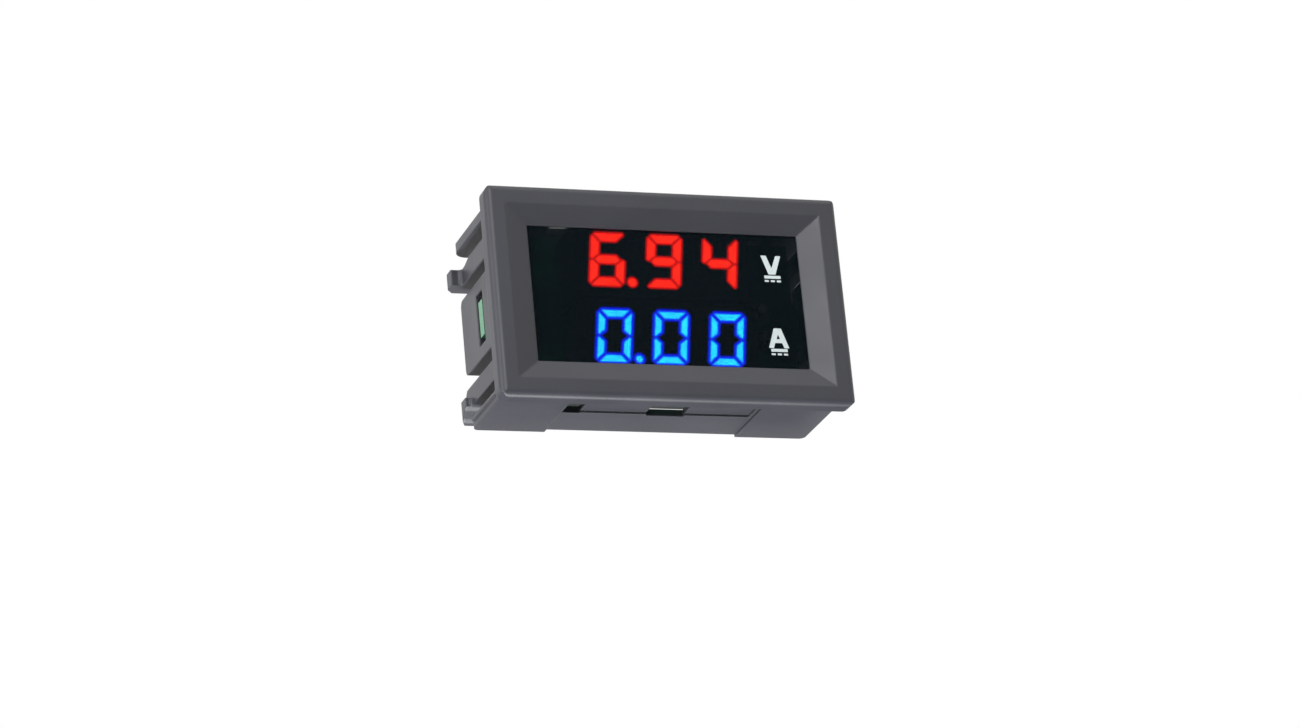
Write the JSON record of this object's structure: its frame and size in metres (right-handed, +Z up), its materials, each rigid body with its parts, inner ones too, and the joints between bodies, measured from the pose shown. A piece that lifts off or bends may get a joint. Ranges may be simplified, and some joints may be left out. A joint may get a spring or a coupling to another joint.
{
  "type": "digital panel meter",
  "caption": "Snap-in panel meter with a sloping bezel, a smoked window, two lines of slanted seven-segment digits and an open-backed case with hooked arms.",
  "frame": {"origin": "centre of the bezel's rear face, which seats on the panel", "axes": "+X to the reader's right, +Y into the panel, +Z up"},
  "size_m": [0.048, 0.021, 0.0288],
  "materials": {
    "case_plastic": "satin charcoal ABS, finely spark-eroded",
    "smoked_window": "smoked acrylic filter sheet, gloss",
    "display_black": "black display shell",
    "red_light": "clear red epoxy light well, lit",
    "red_segment_off": "clear epoxy light well, not lit",
    "blue_light": "clear blue epoxy light well, lit",
    "blue_segment_off": "clear epoxy light well, not lit",
    "solder_tin": "tin plate and bright solder",
    "board_green": "green solder mask on glass-epoxy",
    "chip_black": "moulded epoxy",
    "tantalum_yellow": "moulded epoxy",
    "resistor_black": "glazed thick-film chip",
    "capacitor_tan": "fired ceramic chip",
    "shunt_alloy": "drawn resistance wire",
    "trimmer_base": "pressed steel frame",
    "trimmer_brass": "turned brass",
    "nylon_white": "natural white nylon"
  },
  "bodies": {
    "meter": {"case": "case_plastic", "window": "smoked_window", "voltage_display": "display_black", "voltage_digits_lit": "red_light", "voltage_digits_dark": "red_segment_off", "voltage_display_pins": "solder_tin", "current_display": "display_black", "current_digits_lit": "blue_light", "current_digits_dark": "blue_segment_off", "current_display_pins": "solder_tin", "circuit_board": "board_green", "microcontroller": "chip_black", "microcontroller_leads": "solder_tin", "op_amp": "chip_black", "op_amp_leads": "solder_tin", "voltage_regulator": "chip_black", "regulator_leads": "solder_tin", "protection_diode": "chip_black", "diode_leads": "solder_tin", "tantalum_capacitor": "tantalum_yellow", "chip_resistors": "resistor_black", "chip_capacitors": "capacitor_tan", "current_shunt": "shunt_alloy", "voltage_trimmer": "trimmer_base", "current_trimmer": "trimmer_base", "supply_header": "nylon_white", "supply_header_pins": "solder_tin", "current_header": "nylon_white", "current_header_pins": "solder_tin"},
    "voltage_rotor": {"voltage_trimmer_rotor": "trimmer_brass"},
    "current_rotor": {"current_trimmer_rotor": "trimmer_brass"}
  },
  "joints": [
    {"name": "voltage_trim", "type": "hinge", "parent": "meter", "child": "voltage_rotor", "pos_m": [-0.016, 0.0099, 0.0083], "axis": [0, 1, 0], "range_deg": [-115, 115]},
    {"name": "current_trim", "type": "hinge", "parent": "meter", "child": "current_rotor", "pos_m": [0.016, 0.0099, 0.0083], "axis": [0, 1, 0], "range_deg": [-115, 115]}
  ]
}
